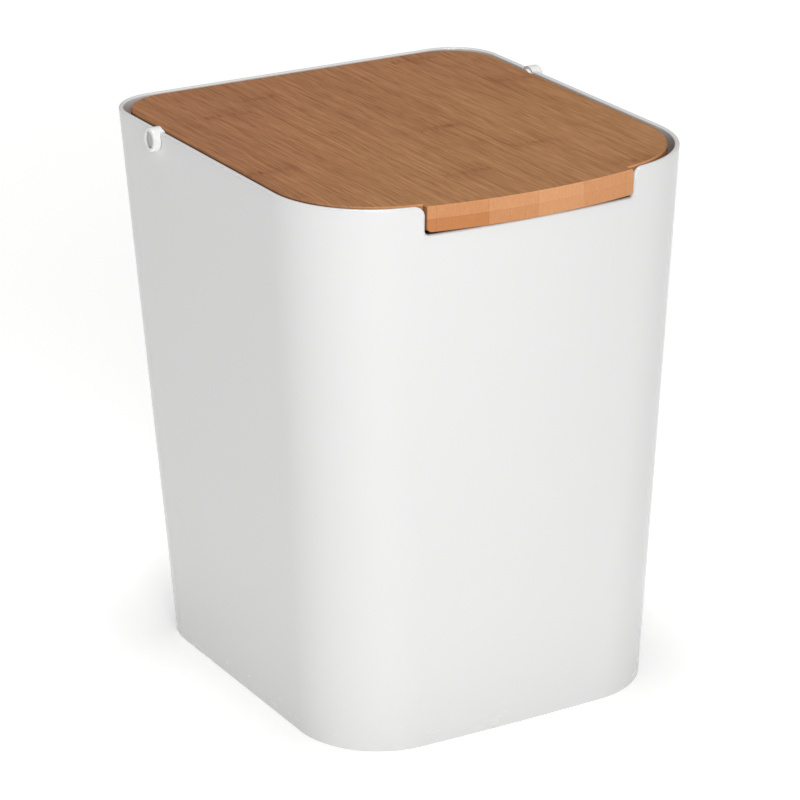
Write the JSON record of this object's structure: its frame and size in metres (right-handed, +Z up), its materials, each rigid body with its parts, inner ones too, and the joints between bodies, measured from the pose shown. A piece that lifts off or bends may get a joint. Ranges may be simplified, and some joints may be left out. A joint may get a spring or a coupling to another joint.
{
  "type": "bathroom bin",
  "caption": "Tapered white plastic bathroom bin with rounded corners and a laminated bamboo lid that swings up on side hinge pins, lifted by a front finger tab.",
  "frame": {"origin": "on the floor, under the middle of the bin's overall width and depth", "axes": "+Z up, -Y out of the front where the lid's tab is, +X to the right of a viewer who looks at the front"},
  "size_m": [0.2068, 0.2188, 0.2592],
  "materials": {
    "tub_plastic": "smooth gloss moulding",
    "bush_plastic": "smooth moulding",
    "pin_steel": "dull zinc plate",
    "bamboo": "sanded and oiled, caramel tone"
  },
  "bodies": {
    "bin": {"body_shell": "tub_plastic", "hinge_bush_left": "bush_plastic", "hinge_bush_right": "bush_plastic"},
    "lid": {"lid_upper_strip_1": "bamboo", "lid_upper_strip_2": "bamboo", "lid_upper_strip_3": "bamboo", "lid_upper_strip_4": "bamboo", "lid_upper_strip_5": "bamboo", "lid_upper_strip_6": "bamboo", "lid_upper_strip_7": "bamboo", "lid_upper_strip_8": "bamboo", "lid_lower_strip_1": "bamboo", "lid_lower_strip_2": "bamboo", "lid_lower_strip_3": "bamboo", "lid_lower_strip_4": "bamboo", "lid_lower_strip_5": "bamboo", "lid_lower_strip_6": "bamboo", "lid_lower_strip_7": "bamboo", "lid_lower_strip_8": "bamboo", "hinge_pin_left": "pin_steel", "hinge_pin_right": "pin_steel"}
  },
  "joints": [
    {"name": "lid_hinge", "type": "hinge", "parent": "bin", "child": "lid", "pos_m": [0, 0.0534, 0.2537], "axis": [-1, 0, 0], "range_deg": [0, 165]}
  ]
}
